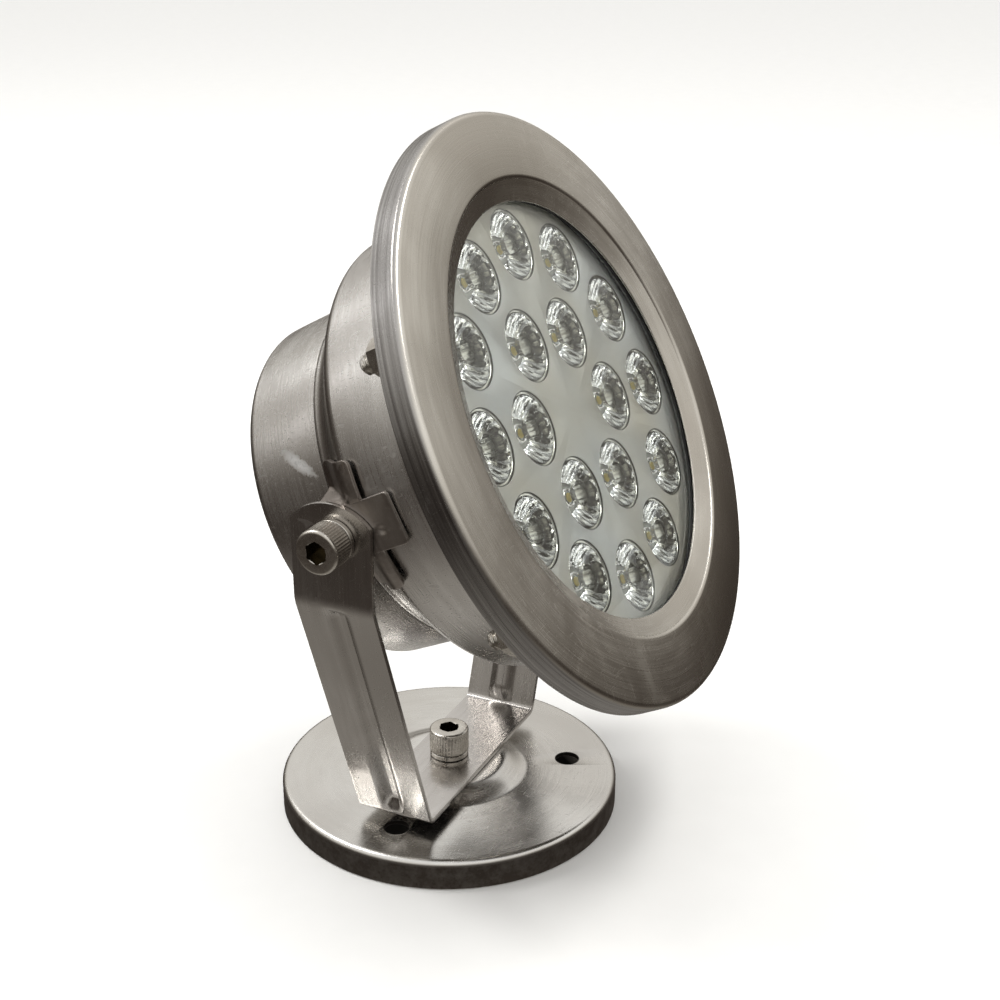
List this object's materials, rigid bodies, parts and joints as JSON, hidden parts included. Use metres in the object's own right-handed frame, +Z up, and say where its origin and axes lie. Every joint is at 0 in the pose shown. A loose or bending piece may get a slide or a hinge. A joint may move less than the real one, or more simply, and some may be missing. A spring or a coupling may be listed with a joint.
{
  "type": "underwater pool light",
  "caption": "Round stainless steel underwater spotlight with clear lenses behind a glass window, tilting in a U bracket on a flat round base.",
  "frame": {"origin": "centre of the underside of the round base, on the floor it is screwed to", "axes": "+Z up out of the floor; X along the tilt pivot; the lamp looks along -Y, tilted up 27 degrees at rest"},
  "size_m": [0.18, 0.1438, 0.2243],
  "materials": {
    "fastener_steel": "turned stainless steel",
    "base_steel": "brushed stainless steel with a worn, slightly mottled skirt",
    "bracket_steel": "brushed stainless sheet with polished bends",
    "inner_aluminium": "mill finish aluminium",
    "driver_case": "black potted case",
    "ring_steel": "stainless steel with a fine hand-polished face",
    "black_rubber": "matt black silicone rubber",
    "shell_steel": "stainless steel brushed round the lamp axis",
    "gland_brass": "nickel-plated brass",
    "window_glass": "clear toughened glass",
    "circuit_board": "white solder mask over an aluminium board",
    "clear_lens": "clear moulded acrylic",
    "mask_aluminium": "satin silver sheet",
    "grey_silicone": "pale grey silicone, slightly translucent",
    "trunnion_steel": "stainless sheet with spot-weld marks"
  },
  "bodies": {
    "base": {"base_nut": "fastener_steel", "base_plate": "base_steel", "base_screw": "fastener_steel", "base_spring_washer": "fastener_steel"},
    "yoke": {"bracket": "bracket_steel"},
    "head": {"chassis_bracket": "inner_aluminium", "clinch_nut_left": "fastener_steel", "clinch_nut_right": "fastener_steel", "driver_module": "driver_case", "face_ring": "ring_steel", "front_gasket": "black_rubber", "front_shell": "shell_steel", "gland_body": "gland_brass", "gland_locknut": "gland_brass", "gland_nut": "gland_brass", "gland_oring": "black_rubber", "gland_seal": "black_rubber", "glass": "window_glass", "heat_plate": "inner_aluminium", "led_board": "circuit_board", "lens_01": "clear_lens", "lens_02": "clear_lens", "lens_03": "clear_lens", "lens_04": "clear_lens", "lens_05": "clear_lens", "lens_06": "clear_lens", "lens_07": "clear_lens", "lens_08": "clear_lens", "lens_09": "clear_lens", "lens_10": "clear_lens", "lens_11": "clear_lens", "lens_12": "clear_lens", "lens_13": "clear_lens", "lens_14": "clear_lens", "lens_15": "clear_lens", "lens_16": "clear_lens", "lens_17": "clear_lens", "lens_18": "clear_lens", "lens_mask": "mask_aluminium", "pivot_screw_left": "fastener_steel", "pivot_screw_right": "fastener_steel", "pivot_spring_washer_left": "fastener_steel", "pivot_spring_washer_right": "fastener_steel", "rear_cup": "shell_steel", "rear_gasket": "grey_silicone", "ring_nut_1": "fastener_steel", "ring_nut_2": "fastener_steel", "ring_nut_3": "fastener_steel", "ring_nut_4": "fastener_steel", "ring_nut_5": "fastener_steel", "ring_nut_6": "fastener_steel", "ring_stud_1": "fastener_steel", "ring_stud_2": "fastener_steel", "ring_stud_3": "fastener_steel", "ring_stud_4": "fastener_steel", "ring_stud_5": "fastener_steel", "ring_stud_6": "fastener_steel", "trunnion_plate_left": "trunnion_steel", "trunnion_plate_right": "trunnion_steel"}
  },
  "joints": [
    {"name": "base_swivel", "type": "hinge", "parent": "base", "child": "yoke", "pos_m": [0, 0, 0.0134], "axis": [0, 0, 1], "continuous": true},
    {"name": "head_tilt", "type": "hinge", "parent": "yoke", "child": "head", "pos_m": [0, -0.0021, 0.1215], "axis": [1, 0, 0], "range_deg": [-170, 46]}
  ]
}
